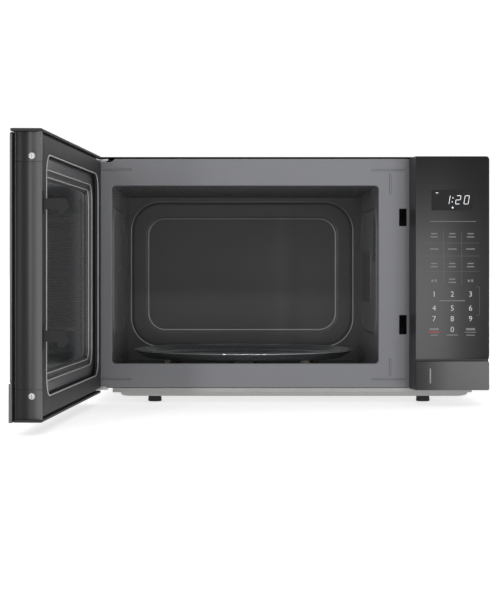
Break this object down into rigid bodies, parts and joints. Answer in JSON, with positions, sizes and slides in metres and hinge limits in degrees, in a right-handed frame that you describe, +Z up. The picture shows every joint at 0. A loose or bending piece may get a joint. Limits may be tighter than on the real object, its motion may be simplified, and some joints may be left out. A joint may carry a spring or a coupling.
{
  "type": "microwave oven",
  "caption": "Countertop microwave oven with side-hinged door, glass turntable, side control panel and push-to-open button, shown with its door open.",
  "frame": {"origin": "under the middle of the box that the oven fills with its door open, on the surface under the feet", "axes": "+Z up, +Y from the open door to the back of the oven, +X to the control panel side"},
  "size_m": [0.5738, 0.8303, 0.328],
  "materials": {
    "black_cover": "satin black powder coat",
    "grey_face": "grey enamel paint, fine texture",
    "cavity": "dark grey cavity enamel",
    "galvanised": "galvanised sheet",
    "zinc": "bright zinc plate",
    "dark_steel": "black stainless, brushed across",
    "black_plastic": "fine spark texture",
    "pale_plastic": "natural acetal",
    "tan_plastic": "heat-proof moulding",
    "mica": "pressed mica sheet",
    "clear_glass": "clear tempered glass",
    "dark_glass": "smoked, polished",
    "clear_film": "thin clear film",
    "board": "green solder mask",
    "aluminium": "mill finish",
    "copper": "lacquered copper winding on ferrite",
    "rubber": "moulded"
  },
  "bodies": {
    "case": {"outer_cover": "black_cover", "base_plate": "galvanised", "rear_panel": "galvanised", "face_plate": "grey_face", "cavity_floor": "cavity", "cavity_ceiling": "cavity", "cavity_left_wall": "cavity", "cavity_right_wall": "cavity", "cavity_back_wall": "cavity", "waveguide_cover": "mica", "waveguide": "galvanised", "magnetron": "aluminium", "thermal_cutout": "black_plastic", "inverter_board": "board", "inverter_heatsink": "aluminium", "inverter_transformer": "copper", "fan_shroud": "black_plastic", "fan_motor": "zinc", "lamp_holder": "pale_plastic", "lamp_bulb": "clear_glass", "turntable_motor": "zinc", "latch_body": "black_plastic", "primary_switch": "black_plastic", "secondary_switch": "black_plastic", "monitor_switch": "black_plastic", "control_housing": "black_plastic", "control_fascia": "dark_steel", "display_window": "dark_glass", "control_board": "board", "hinge_bracket_upper": "zinc", "hinge_bracket_lower": "zinc", "cord_gland": "rubber", "noise_filter_board": "board", "foot_front_left": "rubber", "foot_front_right": "rubber", "foot_rear_left": "rubber", "foot_rear_right": "rubber", "button_spring": "zinc"},
    "door": {"door_frame": "black_plastic", "door_outer_panel": "dark_steel", "door_glass": "dark_glass", "door_band": "dark_steel", "door_metal_panel": "cavity", "door_inner_film": "clear_film", "choke_cover": "black_plastic", "door_end_cap": "black_plastic", "door_screw_upper": "zinc", "door_screw_lower": "zinc", "latch_spring": "zinc"},
    "latch": {"latch_slider": "black_plastic"},
    "button": {"open_button": "dark_steel"},
    "lever": {"release_lever": "black_plastic"},
    "hub": {"drive_hub": "pale_plastic"},
    "tray": {"glass_tray": "clear_glass"},
    "ring": {"roller_ring": "tan_plastic"},
    "roller_a": {"roller_1": "pale_plastic"},
    "roller_b": {"roller_2": "pale_plastic"},
    "roller_c": {"roller_3": "pale_plastic"},
    "fan": {"fan_blade": "black_plastic"}
  },
  "joints": [
    {"name": "door_hinge", "type": "hinge", "parent": "case", "child": "door", "pos_m": [-0.2316, 0.0027, 0.17], "axis": [0, 0, 1], "range_deg": [-14, 94]},
    {"name": "latch_lift", "type": "slide", "parent": "door", "child": "latch", "axis": [0, 0, 1], "range_m": [0, 0.005], "stiffness_N_per_m": 120, "deforming": ["latch_spring"]},
    {"name": "open_button", "type": "slide", "parent": "case", "child": "button", "axis": [0, 1, 0], "range_m": [0, 0.0045], "stiffness_N_per_m": 400, "deforming": ["button_spring"]},
    {"name": "release_lever", "type": "hinge", "parent": "case", "child": "lever", "pos_m": [0.1844, 0.0267, 0.072], "axis": [1, 0, 0], "range_deg": [0, 12.5]},
    {"name": "turntable_spin", "type": "hinge", "parent": "case", "child": "hub", "pos_m": [-0.0314, 0.1937, 0.04], "axis": [0, 0, 1], "continuous": true},
    {"name": "tray_lift", "type": "slide", "parent": "hub", "child": "tray", "axis": [0, 0, 1], "range_m": [0, 0.06]},
    {"name": "roller_ring_spin", "type": "hinge", "parent": "case", "child": "ring", "pos_m": [-0.0314, 0.1937, 0.0455], "axis": [0, 0, 1], "continuous": true},
    {"name": "roller_1_spin", "type": "hinge", "parent": "ring", "child": "roller_a", "pos_m": [-0.00651, 0.30597, 0.0455], "axis": [0.2164, 0.9763, 0], "continuous": true},
    {"name": "roller_2_spin", "type": "hinge", "parent": "ring", "child": "roller_b", "pos_m": [-0.14108, 0.15912, 0.0455], "axis": [-0.9537, -0.3007, 0], "continuous": true},
    {"name": "roller_3_spin", "type": "hinge", "parent": "ring", "child": "roller_c", "pos_m": [0.05339, 0.11601, 0.0455], "axis": [0.7373, -0.6756, 0], "continuous": true},
    {"name": "fan_spin", "type": "hinge", "parent": "case", "child": "fan", "pos_m": [0.2364, 0.3657, 0.168], "axis": [0, 1, 0], "continuous": true}
  ],
  "couplings": [
    {"joint": "release_lever", "follows": "open_button", "rad_per_m": 48},
    {"joint": "roller_ring_spin", "follows": "turntable_spin", "ratio": 0.5},
    {"joint": "roller_1_spin", "follows": "turntable_spin", "ratio": -8.2143},
    {"joint": "roller_2_spin", "follows": "turntable_spin", "ratio": -8.2143},
    {"joint": "roller_3_spin", "follows": "turntable_spin", "ratio": -8.2143}
  ]
}
